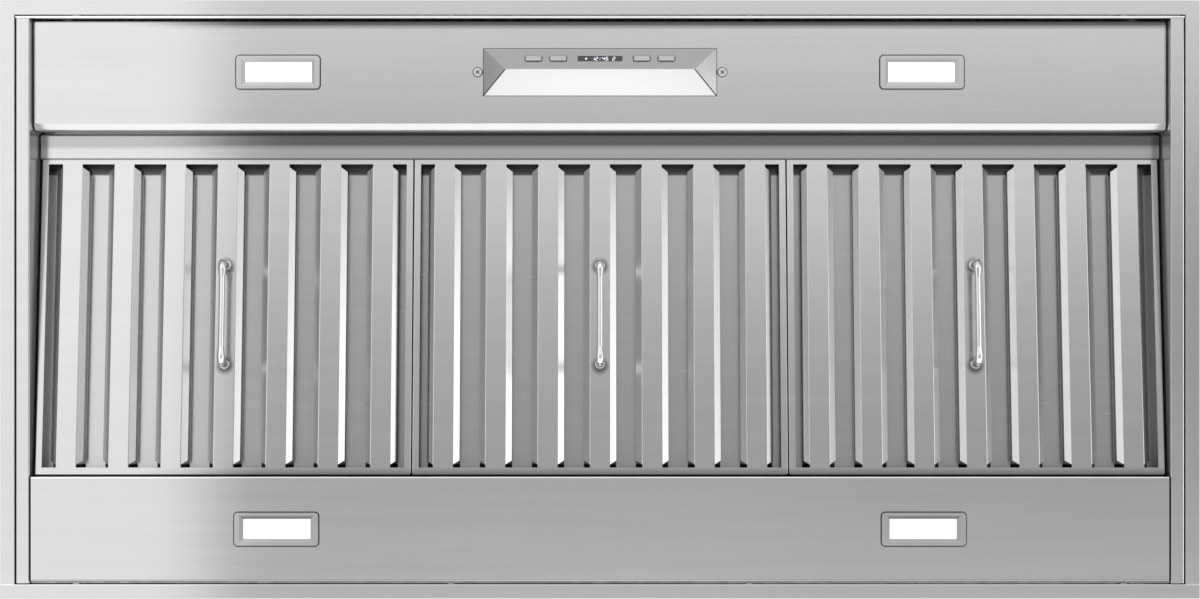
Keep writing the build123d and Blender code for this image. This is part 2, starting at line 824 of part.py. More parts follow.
def filter_handle(plane):
    """Bow handle: round legs that bend into a thinner bar, each leg on a small foot."""
    leg_y = handle_centre - handle_span / 2
    side_view = Plane(origin=plane.origin, x_dir=plane.y_dir, z_dir=plane.x_dir)
    knuckle = Plane(
        origin=plane.from_local_coords((0, leg_y + handle_bend, -handle_reach)),
        x_dir=plane.x_dir,
        z_dir=plane.y_dir,
    )
    taper = degrees(atan2(handle_leg_radius - handle_bar_radius, handle_taper))
    middle = Plane(
        origin=plane.from_local_coords((0, handle_centre, 0)), x_dir=plane.x_dir, z_dir=plane.y_dir
    )
    with BuildPart() as handle:
        with BuildSketch(plane):
            with Locations((0, leg_y)):
                Circle(handle_foot_radius)
        extrude(amount=-handle_foot)
        with BuildLine(side_view):
            FilletPolyline(
                (leg_y, 0),
                (leg_y, -handle_reach),
                (leg_y + handle_bend + fit, -handle_reach),
                radius=handle_bend,
            )
        with BuildSketch(plane):
            with Locations((0, leg_y)):
                Circle(handle_leg_radius)
        sweep()
        with BuildSketch(knuckle):
            Circle(handle_leg_radius)
        extrude(amount=handle_taper, taper=taper)
        with BuildSketch(knuckle):
            Circle(handle_bar_radius)
        extrude(amount=handle_span / 2 - handle_bend)
        with BuildSketch(plane):
            with Locations((0, leg_y)):
                Circle(handle_screw_radius + shaft_play)
        extrude(amount=-handle_thread, mode=Mode.SUBTRACT)
        mirror(about=middle)
    return handle


def filter_handle_screws(plane):
    """Pan head screws that come down through the web into the handle's legs."""
    with BuildPart() as screws:
        with BuildSketch(plane.offset(filter_sheet)):
            with Locations((0, handle_centre)):
                with GridLocations(0, handle_span, 1, 2):
                    Circle(handle_screw_head_radius)
        extrude(amount=handle_screw_head)
        with BuildSketch(plane.offset(filter_sheet)):
            with Locations((0, handle_centre)):
                with GridLocations(0, handle_span, 1, 2):
                    Circle(handle_screw_radius)
        extrude(amount=-handle_thread)
    return screws


for index, place in enumerate(("left", "centre", "right")):
    seat = filter_plane((index - (filter_count - 1) / 2) * filter_pitch)
    save(filter_face(seat), f"filter_{place}_face")
    save(filter_baffles(seat), f"filter_{place}_baffles")
    save(filter_back_frame(seat), f"filter_{place}_back_frame")
    save(filter_handle(seat), f"filter_{place}_handle")
    save(filter_handle_screws(seat), f"filter_{place}_handle_screws")


# ---- Lamps ----
def lamp_bezel(x, y, z):
    """Frame under the panel, with a sloping window edge and a sleeve up through the panel."""
    pocket_length = lens_length + 2 * lens_lip
    pocket_width = lens_width + 2 * lens_lip
    window_taper = degrees(atan2(bezel_slope, bezel_slope_depth))
    with BuildPart() as bezel:
        with BuildSketch(Plane.XY.offset(z)):
            with Locations((x, y)):
                RectangleRounded(bezel_length, bezel_width, bezel_corner)
        extrude(amount=-bezel_thickness)
        fillet(bezel.faces().sort_by(Axis.Z)[0].edges(), radius=bezel_round)
        with BuildSketch(Plane.XY.offset(z)):
            with Locations((x, y)):
                Rectangle(lamp_cut_length - fit, lamp_cut_width - fit)
        extrude(amount=bezel_sleeve)
        with BuildSketch(Plane.XY.offset(z - bezel_thickness)):
            with Locations((x, y)):
                Rectangle(lens_length, lens_width)
        extrude(amount=bezel_thickness + bezel_sleeve, mode=Mode.SUBTRACT)
        with BuildSketch(Plane.XY.offset(z)):
            with Locations((x, y)):
                Rectangle(pocket_length, pocket_width)
        extrude(amount=bezel_sleeve, mode=Mode.SUBTRACT)
        with BuildSketch(Plane.XY.offset(z - bezel_thickness)):
            with Locations((x, y)):
                Rectangle(lens_length + 2 * bezel_slope, lens_width + 2 * bezel_slope)
        extrude(amount=bezel_slope_depth, taper=window_taper, mode=Mode.SUBTRACT)
    return bezel


def lamp_lens(x, y, z):
    """Diffuser plate that rests on the bezel's window edge."""
    with BuildPart() as lens:
        with BuildSketch(Plane.XY.offset(z)):
            with Locations((x, y)):
                Rectangle(lens_length + 2 * lens_lip - fit, lens_width + 2 * lens_lip - fit)
        extrude(amount=lens_thickness)
    return lens


def lamp_housing(x, y, z):
    """Finned cap over the sleeve, on the upper face of the panel."""
    length = lamp_cut_length + 2 * fit
    width = lamp_cut_width + 2 * fit
    with BuildPart() as housing:
        with BuildSketch(Plane.XY.offset(z + sheet)):
            with Locations((x, y)):
                RectangleRounded(length + 2 * lamp_housing_rim, width + 2 * lamp_housing_rim, rim_corner)
        extrude(amount=sheet)
        with BuildSketch(Plane.XY.offset(z + sheet)):
            with Locations((x, y)):
                Rectangle(length + 2 * sheet, width + 2 * sheet)
        extrude(amount=lamp_housing_height)
        with BuildSketch(Plane.XY.offset(z + sheet)):
            with Locations((x, y)):
                Rectangle(length, width)
        extrude(amount=lamp_housing_height - 2 * sheet, mode=Mode.SUBTRACT)
        with BuildSketch(Plane.XY.offset(z + sheet + lamp_housing_height)):
            with Locations((x, y)):
                with GridLocations(length / fin_count, 0, fin_count, 1):
                    Rectangle(fin_thickness, width)
        extrude(amount=fin_height)
    return housing


lamp_seats = {
    "front_left": (-lamp_x, front_lamp_y, front_panel_z),
    "front_right": (lamp_x, front_lamp_y, front_panel_z),
    "rear_left": (-lamp_x, rear_lamp_y, face_z),
    "rear_right": (lamp_x, rear_lamp_y, face_z),
}
for place, seat in lamp_seats.items():
    save(lamp_bezel(*seat), f"lamp_{place}_bezel")
    save(lamp_lens(*seat), f"lamp_{place}_lens")
with BuildPart() as lamp_housings:
    for seat in lamp_seats.values():
        add(lamp_housing(*seat).part)
save(lamp_housings, "lamp_housings")


# ---- Blower box: an open-bottomed cover on the top panel ----
with BuildPart() as blower_box:
    with BuildSketch(Plane.XY.offset(pan_height)):
        with Locations((0, blower_y)):
            RectangleRounded(box_length, box_depth, box_corner)
    extrude(amount=box_height)
    with BuildSketch(Plane.XY.offset(pan_height)):
        with Locations((0, blower_y)):
            RectangleRounded(box_length + 2 * box_flange, box_depth + 2 * box_flange, box_corner)
    extrude(amount=sheet)
    with BuildSketch(Plane.XY.offset(pan_height)):
        with Locations((0, blower_y)):
            RectangleRounded(box_length - 2 * sheet, box_depth - 2 * sheet, box_corner - sheet)
    extrude(amount=box_height - sheet, mode=Mode.SUBTRACT)
    with BuildSketch(Plane.XY.offset(outlet_z)):
        with Locations((0, outlet_y)):
            Rectangle(2 * scroll_half, outlet_depth)
    extrude(amount=sheet, mode=Mode.SUBTRACT)
save(blower_box, "blower_box")


# ---- Scroll housing: a volute of three arcs whose radius grows by one step each quarter turn ----
def volute(top, margin=0.0):
    """Side view of the air path: from the tongue round the wheel and up the outlet, in Y and Z."""
    tongue_y = volute_radius * cos(radians(tongue_angle))
    tongue_z = volute_radius * sin(radians(tongue_angle))
    with BuildSketch() as outline:
        with Locations((wheel_y, wheel_z)):
            with BuildSketch(mode=Mode.PRIVATE) as spiral:
                with BuildLine():
                    CenterArc((0, 0), volute_radius, tongue_angle, 180 - tongue_angle)
                    CenterArc((volute_step, 0), volute_radius + volute_step, 180, 90)
                    CenterArc((volute_step, volute_step), volute_radius + 2 * volute_step, 270, 90)
                    Polyline(
                        (volute_radius + 3 * volute_step, volute_step),
                        (volute_radius + 3 * volute_step, top - wheel_z),
                        (tongue_y, top - wheel_z),
                        (tongue_y, tongue_z),
                    )
                make_face()
            add(spiral.sketch_local)
        if margin:
            offset(amount=margin, kind=Kind.INTERSECTION)
    return outline.sketch


inlet_hole = inlet_radius + sheet + inlet_lip
with BuildPart() as scroll_housing:
    with BuildSketch(Plane.YZ):
        add(volute(outlet_z - sheet, sheet))
    extrude(amount=scroll_half + sheet, both=True)
    with BuildSketch(Plane.XY.offset(outlet_z - sheet)):
        with Locations((0, outlet_y)):
            Rectangle(2 * (scroll_half + outlet_flange), outlet_depth + 2 * outlet_flange)
    extrude(amount=sheet)
    with BuildSketch(Plane.YZ):
        add(volute(outlet_z))
    extrude(amount=scroll_half, both=True, mode=Mode.SUBTRACT)
    with BuildSketch(Plane.YZ):
        with Locations((wheel_y, wheel_z)):
            Circle(inlet_hole)
    extrude(amount=2 * scroll_half, both=True, mode=Mode.SUBTRACT)
save(scroll_housing, "scroll_housing")

# ---- Inlet rings: bell mouths on both sides of the scroll ----
ring_outline = [
    (scroll_half + 2 * sheet, inlet_hole + inlet_flange),
    (scroll_half + 2 * sheet, inlet_radius),
    (scroll_half + 2 * sheet - inlet_depth, inlet_radius),
]
with BuildPart() as inlet_rings:
    with BuildSketch(Plane(origin=(0, wheel_y, wheel_z), x_dir=(1, 0, 0), z_dir=(0, -1, 0))):
        add(bent_section(ring_outline, Side.RIGHT, sheet, inlet_lip))
    revolve(axis=wheel_axis)
    mirror(about=Plane.YZ)
save(inlet_rings, "inlet_rings")

# ---- Blower wheel: forward curved blades between a centre disc and two end rings ----
with BuildPart() as blower_wheel:
    with BuildSketch(Plane.YZ):
        with Locations((wheel_y, wheel_z)):
            Circle(wheel_radius)
    extrude(amount=wheel_disc / 2, both=True)
    with BuildSketch(Plane.YZ):
        with Locations((wheel_y, wheel_z)):
            with BuildSketch(mode=Mode.PRIVATE) as blade:
                with BuildLine():
                    ThreePointArc(
                        (blade_inner_radius, 0),
                        Vector((blade_inner_radius + wheel_radius) / 2, 0).rotate(Axis.Z, blade_root_lean),
                        Vector(wheel_radius - blade_thickness, 0).rotate(Axis.Z, blade_lean),
                    )
                    offset(amount=blade_thickness, side=Side.LEFT)
                make_face()
            with PolarLocations(0, blade_count):
                add(blade.sketch_local)
    extrude(amount=wheel_half, both=True)
    for side in (-1, 1):
        with BuildSketch(Plane.YZ.offset(side * wheel_half)):
            with Locations((wheel_y, wheel_z)):
                Circle(wheel_radius)
                Circle((blade_inner_radius + wheel_radius) / 2, mode=Mode.SUBTRACT)
        extrude(amount=-side * wheel_ring)
    with BuildSketch(Plane.YZ):
        with Locations((wheel_y, wheel_z)):
            Circle(hub_radius)
    extrude(amount=hub_length)
    with BuildSketch(Plane.YZ):
        with Locations((wheel_y, wheel_z)):
            Circle(shaft_radius)
    extrude(amount=hub_length, both=True, mode=Mode.SUBTRACT)
save(blower_wheel, "blower_wheel")

# ---- Motor, its shaft, and the bracket that holds it in the left inlet ----
motor_front = -motor_disc_gap - motor_nose
motor_back = -bracket_x - bracket_bar - motor_tail
with BuildPart() as blower_motor:
    with BuildSketch(Plane.YZ.offset(motor_back)):
        with Locations((wheel_y, wheel_z)):
            Circle(motor_radius)
    extrude(amount=motor_front - motor_back)
    fillet(blower_motor.edges().filter_by(GeomType.CIRCLE), radius=motor_round)
    with BuildSketch(Plane.YZ.offset(motor_front)):
        with Locations((wheel_y, wheel_z)):
            Circle(motor_nose_radius)
    extrude(amount=motor_nose)
    with BuildSketch(Plane.YZ.offset(motor_front + motor_nose)):
        with Locations((wheel_y, wheel_z)):
            Circle(shaft_radius + shaft_play)
    extrude(amount=-shaft_depth - fit, mode=Mode.SUBTRACT)
save(blower_motor, "blower_motor")

with BuildPart() as blower_shaft:
    with BuildSketch(Plane.YZ.offset(motor_front + motor_nose - shaft_depth)):
        with Locations((wheel_y, wheel_z)):
            Circle(shaft_radius)
    extrude(amount=shaft_depth + motor_disc_gap + hub_length)
save(blower_shaft, "blower_shaft")

post_circle = inlet_hole + inlet_flange + bracket_post_radius + fit
with BuildPart() as motor_bracket:
    with BuildSketch(Plane.YZ.offset(-bracket_x - bracket_bar)):
        with Locations((wheel_y, wheel_z)):
            with PolarLocations(post_circle / 2, bracket_arms, start_angle=90):
                Rectangle(post_circle, bracket_arm)
            with PolarLocations(post_circle, bracket_arms, start_angle=90):
                Circle(bracket_arm / 2)
            Circle(motor_radius + bracket_wall)
    extrude(amount=bracket_bar)
    with BuildSketch(Plane.YZ.offset(-bracket_x)):
        with Locations((wheel_y, wheel_z)):
            Circle(motor_radius + bracket_wall)
    extrude(amount=bracket_band - bracket_bar)
    with BuildSketch(Plane.YZ.offset(-bracket_x)):
        with Locations((wheel_y, wheel_z)):
            with PolarLocations(post_circle, bracket_arms, start_angle=90):
                Circle(bracket_post_radius)
    extrude(amount=bracket_post)
    with BuildSketch(Plane.YZ.offset(-bracket_x - bracket_bar)):
        with Locations((wheel_y, wheel_z)):
            Circle(motor_radius + shaft_play)
    extrude(amount=bracket_band, mode=Mode.SUBTRACT)
save(motor_bracket, "motor_bracket")

# ---- Duct transition: from the scroll's rectangular outlet to the round collar ----
with BuildPart() as duct_transition:
    with BuildSketch(Plane.XY.offset(box_top)):
        with Locations((0, outlet_y)):
            RectangleRounded(2 * (scroll_half + sheet), outlet_depth + 2 * sheet, 2 * sheet)
    with BuildSketch(Plane.XY.offset(collar_z)):
        with Locations((0, collar_y)):
            Circle(collar_radius)
    loft()
    with BuildSketch(Plane.XY.offset(box_top)):
        with Locations((0, outlet_y)):
            Rectangle(2 * (scroll_half + outlet_flange), outlet_depth + 2 * outlet_flange)
    extrude(amount=sheet)
    with BuildSketch(Plane.XY.offset(collar_z)):
        with Locations((0, collar_y)):
            Circle(collar_radius + collar_flange)
    extrude(amount=-sheet)
    with BuildSketch(Plane.XY.offset(box_top)):
        with Locations((0, outlet_y)):
            RectangleRounded(2 * scroll_half, outlet_depth, sheet)
    with BuildSketch(Plane.XY.offset(collar_z)):
        with Locations((0, collar_y)):
            Circle(throat_radius)
    loft(mode=Mode.SUBTRACT)
save(duct_transition, "duct_transition")

# ---- Duct collar: a spigot with a flange below, stops for the flaps and holes for their rod ----
with BuildPart() as duct_collar:
    with BuildSketch(Plane.XY.offset(collar_z)):
        with Locations((0, collar_y)):
            Circle(collar_radius)
    extrude(amount=collar_height)
    with BuildSketch(Plane.XY.offset(collar_z)):
        with Locations((0, collar_y)):
            Circle(collar_radius + collar_flange)
    extrude(amount=sheet)
    with BuildSketch(Plane.XY.offset(collar_z)):
        with Locations((0, collar_y)):
            Circle(throat_radius)
    extrude(amount=collar_height, mode=Mode.SUBTRACT)
    with BuildSketch(Plane.XY.offset(damper_z - damper_sheet / 2 - fit)):
        with Locations((0, collar_y)):
            with GridLocations(0, 2 * (throat_radius - damper_stop / 2), 1, 2):
                Rectangle(damper_stop_width, damper_stop + collar_wall)
    extrude(amount=-2 * sheet)
    with BuildSketch(Plane.YZ):
        with Locations((collar_y, damper_z)):
            Circle(damper_rod_radius + damper_play)
    extrude(amount=collar_radius, both=True, mode=Mode.SUBTRACT)
save(duct_collar, "duct_collar")

with BuildPart() as damper_rod:
    with BuildSketch(Plane.YZ):
        with Locations((collar_y, damper_z)):
            Circle(damper_rod_radius)
    extrude(amount=collar_radius - fit, both=True)
save(damper_rod, "damper_rod")


# ---- Damper flaps: half discs that hang on the rod by knuckles and open upwards ----
def damper_flap(side, knuckle_x):
    """Flap on the rear (side 1) or front (side -1) of the rod."""
    edge = knuckle_radius + 2 * fit
    with BuildPart() as flap:
        with BuildSketch(Plane.XY.offset(damper_z - damper_sheet / 2)):
            with Locations((0, collar_y)):
                Circle(throat_radius - damper_gap)
            with Locations((0, collar_y + side * (edge + throat_radius / 2))):
                Rectangle(2 * throat_radius, throat_radius, mode=Mode.INTERSECT)
            with Locations((0, collar_y + side * (edge + damper_rod_radius) / 2)):
                with GridLocations(2 * knuckle_x, 0, 2, 1):
                    Rectangle(knuckle_length, edge)
        extrude(amount=damper_sheet)
        for x in (-knuckle_x, knuckle_x):
            with BuildSketch(Plane.YZ.offset(x)):
                with Locations((collar_y, damper_z)):
                    Circle(knuckle_radius)
            extrude(amount=knuckle_length / 2, both=True)
        with BuildSketch(Plane.YZ):
            with Locations((collar_y, damper_z)):
                Circle(damper_rod_radius + damper_play)
        extrude(amount=collar_radius, both=True, mode=Mode.SUBTRACT)
    return flap


save(damper_flap(1, rear_knuckle_x), "damper_flap_rear")
save(damper_flap(-1, front_knuckle_x), "damper_flap_front")

# ---- Junction box on the top panel, with a knockout for the house wiring ----
with BuildPart() as junction_box:
    with BuildSketch(Plane.XY.offset(pan_height)):
        with Locations((junction_x, junction_y)):
            Rectangle(junction_length, junction_width)
    extrude(amount=junction_height)
    with BuildSketch(Plane.XY.offset(pan_height + sheet)):
        with Locations((junction_x, junction_y)):
            Rectangle(junction_length - 2 * sheet, junction_width - 2 * sheet)
    extrude(amount=junction_height, mode=Mode.SUBTRACT)
    with BuildSketch(Plane.XY.offset(pan_height)):
        with Locations((junction_x, junction_y)):
            Circle(wire_hole_radius)
    extrude(amount=sheet, mode=Mode.SUBTRACT)
    with BuildSketch(Plane.YZ.offset(junction_x + junction_length / 2)):
        with Locations((junction_y, pan_height + junction_height / 2)):
            Circle(knockout_radius)
    extrude(amount=-sheet, mode=Mode.SUBTRACT)
save(junction_box, "junction_box")

with BuildPart() as junction_box_cover:
    with BuildSketch(Plane.XY.offset(pan_height + junction_height)):
        with Locations((junction_x, junction_y)):
            RectangleRounded(junction_length + 2 * cover_lap, junction_width + 2 * cover_lap, cover_lap)
    extrude(amount=sheet)
    chamfer(junction_box_cover.faces().sort_by(Axis.Z)[-1].edges(), length=cover_edge)
save(junction_box_cover, "junction_box_cover")
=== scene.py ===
"""A range hood insert seen from straight below, in a plain soft studio.

Metres, in the frame of the part: +X right, +Y to the wall, +Z up, origin in the seating plane of the trim.
"""

import json
from math import pi

import bmesh
import bpy
from mathutils import Matrix, Vector


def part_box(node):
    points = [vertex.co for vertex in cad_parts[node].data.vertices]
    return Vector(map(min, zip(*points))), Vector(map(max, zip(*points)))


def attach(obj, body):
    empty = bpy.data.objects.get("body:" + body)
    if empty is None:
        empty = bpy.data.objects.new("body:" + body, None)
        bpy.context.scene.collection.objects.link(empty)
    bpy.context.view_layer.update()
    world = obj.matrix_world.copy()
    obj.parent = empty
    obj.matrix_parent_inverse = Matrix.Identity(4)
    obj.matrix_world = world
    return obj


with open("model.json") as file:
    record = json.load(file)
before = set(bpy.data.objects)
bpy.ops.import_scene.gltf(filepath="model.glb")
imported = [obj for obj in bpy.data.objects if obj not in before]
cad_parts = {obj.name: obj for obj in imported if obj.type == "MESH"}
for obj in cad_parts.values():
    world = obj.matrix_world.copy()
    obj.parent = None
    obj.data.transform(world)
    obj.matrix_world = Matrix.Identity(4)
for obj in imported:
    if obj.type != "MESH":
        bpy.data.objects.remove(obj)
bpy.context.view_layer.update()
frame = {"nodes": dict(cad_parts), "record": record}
nodes = frame["nodes"]

# ---- Picture ----
RIM_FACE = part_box("trim_frame")[0].z
CAMERA_DISTANCE = 2.5
VIEW_WIDTH = 1.179
SENSOR = 36.0

# ---- Places on the part where the finishes paint shade and highlights and draw lines ----
# A pair for a shade gives the coordinate, or the distance from the middle, where it is full and the one where it ends.
# The shades here are painted shade: the shadow of the front wall on the front panel, the shadow of the panel's return
# on the ledge, and shade in the gaps between parts and at the ends of the slots. The lines here are painted shade in
# gaps and folds, and painted highlights on rounded edges.
PANEL_SHADE = (-0.2714, -0.2704)
PANEL_SOFT_SHADE = (-0.2714, -0.2655)
LEDGE_SHADE = (-0.1545, -0.1535)
LEDGE_SOFT_SHADE = (-0.1545, -0.1485)
LEDGE_WHOLE_SHADE = (-0.1300, -0.1290)
LEDGE_JOINT_SHADE = (-0.1409, -0.1415)
LEDGE_SHADE_LINE = -0.1652
FRAME_SHADE = (-0.1210, -0.1200)
FACE_REAR_SHADE = (0.1735, 0.1640)
BAFFLE_FRONT_SHADE = (-0.1262, -0.1240)
BAFFLE_REAR_SHADE = (0.1640, 0.1620)
REAR_PANEL_EDGE_HIGHLIGHT = 0.1750
REAR_PANEL_FOLD_SHADE = 0.2757
REAR_PANEL_JOINT_SHADE = (0.2771, 0.2762)
REAR_PANEL_END_SHADE = (0.5596, 0.5589)
FRONT_WALL_HIGHLIGHT = -0.2777
RIM_REAR_HIGHLIGHT = 0.2802
CONSOLE_BASE = 0.0121
CONSOLE_FOOT_SHADE = (CONSOLE_BASE - 0.0001, CONSOLE_BASE - 0.0005)

# Pairs of x values between which a painted shade grows to its full strength, from left to right
SHADE_FADE = (-0.48, -0.32)
LEDGE_FADE = (-0.465, -0.285)

# Strips at the two ends of the hood: distance from the middle where they start, and where they are full
END_STRIP = (0.528, 0.537)

# Handles: distance from one to the next, y of their middle, and half the distance between their feet
HANDLE_STEP = 0.372
HANDLE_MIDDLE = 0.0162
HANDLE_HALF = 0.0493

# Console: x and y of the end of its ridge, and how far its hips run out for each metre to the wall
CONSOLE_RIDGE = (0.0932, -0.2264)
CONSOLE_HIP = 0.871
HIP_FADE = 0.0005
SCREW_PLACE = (0.1208, -0.2245)

# Lenses: x of the middle, half width and half height of the lit window, and where its edge starts and ends
LENS_WINDOW = (0.3173, 0.0326, 0.0096)
LENS_EDGE = (-0.0002, 0.0004)

# How level a face is, from 0 for upright to 1 for level: where it counts as level, and where as a slope or wall
WALL_TURN = (0.55, 0.2)
SLOPE_TURN = (0.97, 0.90)

# How far a face turns towards an axis where it starts to count as facing it, and where it counts in full
FACING_TURN = (0.10, 0.25)

# Share of a thin line's half width that has its full strength
LINE_CORE = 0.4
HIP_CORE = 0.5

# Shade in the screws' crosses: how open a surface is at its darkest and where it ends, and how far its round edge fades
RECESS_OPEN = (0.60, 0.95)
RECESS_EDGE = 1.15

# ---- Textures: spots in a metre, along X, Y and Z or the same along all ----
FINE_STREAKS = (9.0, 1500.0, 1500.0)
WIDE_STREAKS = (3.0, 90.0, 90.0)
SHEET_CLOUDS = 5.0
SPANGLES = 90.0
SPANGLE_CLOUDS = 8.0
ZINC_SPOTS = 700.0
METAL_SPOTS = 600.0
PAINT_SPOTS = 1500.0
SMALL_CLOUDS = 60.0
PLASTIC_SPOTS = 900.0
PLASTIC_CLOUDS = 40.0
FLOOR_CLOUDS = 2.0
NOISE_ROUGHNESS = 0.55
OPENNESS_SAMPLES = 8


# ---- Node helpers ----
def feed(node, inputs):
    """Sets inputs of a node. Each value is a number, a colour or an output of another node."""
    for key, value in inputs.items():
        if isinstance(value, bpy.types.NodeSocket):
            node.id_data.links.new(value, node.inputs[key])
        else:
            node.inputs[key].default_value = value


def adder(tree):
    """A function that adds a node to a tree, with its inputs and settings."""
    def add(kind, inputs=None, **settings):
        node = tree.nodes.new(kind)
        for key, value in settings.items():
            setattr(node, key, value)
        feed(node, inputs or {})
        return node
    return add


def material(name):
    """A new material, its Principled node and a function that adds nodes."""
    made = bpy.data.materials.new(name)
    made.use_nodes = True
    return made, made.node_tree.nodes["Principled BSDF"], adder(made.node_tree)


def bare_material(name):
    """A new material with an empty tree and a function that adds nodes."""
    made = bpy.data.materials.new(name)
    made.use_nodes = True
    made.node_tree.nodes.clear()
    return made, adder(made.node_tree)


def component(add, vector, name):
    return add("ShaderNodeSeparateXYZ", {"Vector": vector}).outputs[name]


def axis(add, name):
    """A coordinate of the node at rest, in metres."""
    return component(add, add("ShaderNodeTexCoord").outputs["Object"], name)


def turn(add, name):
    """How much a surface of the node at rest faces along an axis, from -1 to 1."""
    return component(add, add("ShaderNodeTexCoord").outputs["Normal"], name)


def coordinates(add, stretch):
    """The part's own metres times stretch, which is a number or has a number for each axis."""
    place = add("ShaderNodeTexCoord").outputs["Object"]
    scale = stretch if isinstance(stretch, tuple) else (stretch,) * 3
    return add("ShaderNodeMapping", {"Vector": place, "Scale": scale}).outputs["Vector"]


def noise(add, stretch, detail=4.0):
    """Soft noise with about stretch spots in a metre."""
    inputs = {"Vector": coordinates(add, stretch), "Scale": 1.0, "Detail": detail, "Roughness": NOISE_ROUGHNESS}
    return add("ShaderNodeTexNoise", inputs).outputs["Fac"]


def compute(add, operation, value, other=0.0):
    return add("ShaderNodeMath", {0: value, 1: other}, operation=operation).outputs["Value"]


def away(add, value, centre):
    """The distance of a number from a centre."""
    return compute(add, "ABSOLUTE", compute(add, "SUBTRACT", value, centre))


def distance(add, x, y):
    """The length of a vector with two components."""
    place = add("ShaderNodeCombineXYZ", {"X": x, "Y": y}).outputs["Vector"]
    return add("ShaderNodeVectorMath", {0: place}, operation="LENGTH").outputs["Value"]


def grow(add, value, start, end, low, high, interpolation="SMOOTHSTEP"):
    """A number that goes smoothly from low to high while value goes from start to end."""
    inputs = {"Value": value, "From Min": start, "From Max": end, "To Min": low, "To Max": high}
    return add("ShaderNodeMapRange", inputs, interpolation_type=interpolation).outputs["Result"]


def ramp(add, factor, low, high, start=0.3, end=0.7):
    """A number that goes evenly from low to high with a factor."""
    return grow(add, factor, start, end, low, high, "LINEAR")


def tone(add, factor, dark, light, start=0.3, end=0.7):
    """A colour that goes evenly from dark to light with a factor."""
    made = add("ShaderNodeValToRGB", {"Fac": factor})
    first, last = made.color_ramp.elements
    first.position, first.color = start, (*dark, 1)
    last.position, last.color = end, (*light, 1)
    return made.outputs["Color"]


def blend(add, a, b, share):
    return add("ShaderNodeMix", {"Factor": share, 2: a, 3: b}, data_type="FLOAT").outputs[0]


def bump(add, height, strength, depth):
    return add("ShaderNodeBump", {"Height": height, "Strength": strength, "Distance": depth}).outputs["Normal"]


def dimmed(add, colour, share):
    return add("ShaderNodeVectorMath", {0: colour, 1: share}, operation="MULTIPLY").outputs["Vector"]


def openness(add, reach):
    """1 where a surface is open, and less where walls within reach stand around it."""
    return add("ShaderNodeAmbientOcclusion", {"Distance": reach}, samples=OPENNESS_SAMPLES).outputs["AO"]


def upright(add, level, wall, start=WALL_TURN[0], end=WALL_TURN[1]):
    """A number that is level on faces that look up or down, and wall on faces that stand upright."""
    return grow(add, away(add, turn(add, "Z"), 0.0), end, start, wall, level)


def faded(add, darkest, fade):
    """The level darkest, or with fade, a level that goes from 1 to darkest between a pair of x values."""
    return grow(add, axis(add, "X"), *fade, 1.0, darkest) if fade else darkest


def grey(value, warmth=0.0):
    return (value * (1 + warmth), value, value * (1 - warmth))


# ---- Shades: painted shade and highlights, and joint lines; each gives a function that takes a colour and returns it darker or lighter in places ----
def shade_by_walls(reach, darkest, start, end, fade=None):
    """Painted shade where walls within reach stand around a surface, as in a corner or a join."""
    def apply(add, colour):
        return dimmed(add, colour, grow(add, openness(add, reach), start, end, faded(add, darkest, fade), 1.0))
    return apply


def shade_band(name, shade, darkest, fade=None, sloping_only=False):
    """A strip of painted shade along an edge. shade is a pair of coordinates: darkest up to the first, and nothing
    from the second. With sloping_only, level faces are left as they are."""
    def apply(add, colour):
        low = upright(add, 1.0, darkest, *SLOPE_TURN) if sloping_only else faded(add, darkest, fade)
        return dimmed(add, colour, grow(add, axis(add, name), *shade, low, 1.0))
    return apply


def line(name, centre, half, level):
    """A thin painted line where a coordinate has one value: painted shade for a level under 1, and a painted highlight
    for one over 1.
    """
    def apply(add, colour):
        near = away(add, axis(add, name), centre)
        return dimmed(add, colour, grow(add, near, LINE_CORE * half, half, level, 1.0))
    return apply


def ends(shade, darkest):
    """Strips of painted shade along the two ends of a piece. shade is a pair of distances from the middle."""
    def apply(add, colour):
        return dimmed(add, colour, grow(add, away(add, axis(add, "X"), 0.0), *shade, darkest, 1.0))
    return apply


def hips(half, darkest):
    """Thin dark lines where the rear face of the console meets its end faces."""
    def apply(add, colour):
        outward = away(add, axis(add, "X"), 0.0)
        rise = compute(add, "SUBTRACT", axis(add, "Y"), CONSOLE_RIDGE[1])
        lean = compute(add, "MULTIPLY", rise, CONSOLE_HIP)
        near = away(add, compute(add, "SUBTRACT", outward, lean), CONSOLE_RIDGE[0])
        low = grow(add, rise, -HIP_FADE, HIP_FADE, 1.0, darkest)
        return dimmed(add, colour, grow(add, near, HIP_CORE * half, half, low, 1.0))
    return apply


def recess(centre, radius, darkest):
    """Shade in the cross of each screw, within a radius of its centre."""
    def apply(add, colour):
        along = away(add, away(add, axis(add, "X"), 0.0), centre[0])
        across = away(add, axis(add, "Y"), centre[1])
        low = grow(add, distance(add, along, across), radius, RECESS_EDGE * radius, darkest, 1.0)
        return dimmed(add, colour, grow(add, openness(add, 2 * radius), *RECESS_OPEN, low, 1.0))
    return apply


def handle_shade(darkest, near, far):
    """Soft shade on the filters round the feet of the handles, up to the distance far."""
    def apply(add, colour):
        across = compute(add, "PINGPONG", axis(add, "X"), HANDLE_STEP / 2)
        along = away(add, away(add, axis(add, "Y"), HANDLE_MIDDLE), HANDLE_HALF)
        return dimmed(add, colour, grow(add, distance(add, across, along), near, far, darkest, 1.0))
    return apply


def facing(name, level, start, end):
    """Painted shade or light on faces that turn towards an axis: darker for a level under 1, lighter for one over 1."""
    def apply(add, colour):
        return dimmed(add, colour, grow(add, turn(add, name), start, end, 1.0, level))
    return apply


# Painted shade or light on faces that turn to the left, and on faces that turn to the right
def facing_left(level):
    return facing("X", level, *(-share for share in FACING_TURN))


def facing_right(level):
    return facing("X", level, *FACING_TURN)


def edges(darkest, start, end):
    """Painted shade on faces that turn away from the level, such as a rounded rim."""
    def apply(add, colour):
        return dimmed(add, colour, upright(add, 1.0, darkest, end, start))
    return apply


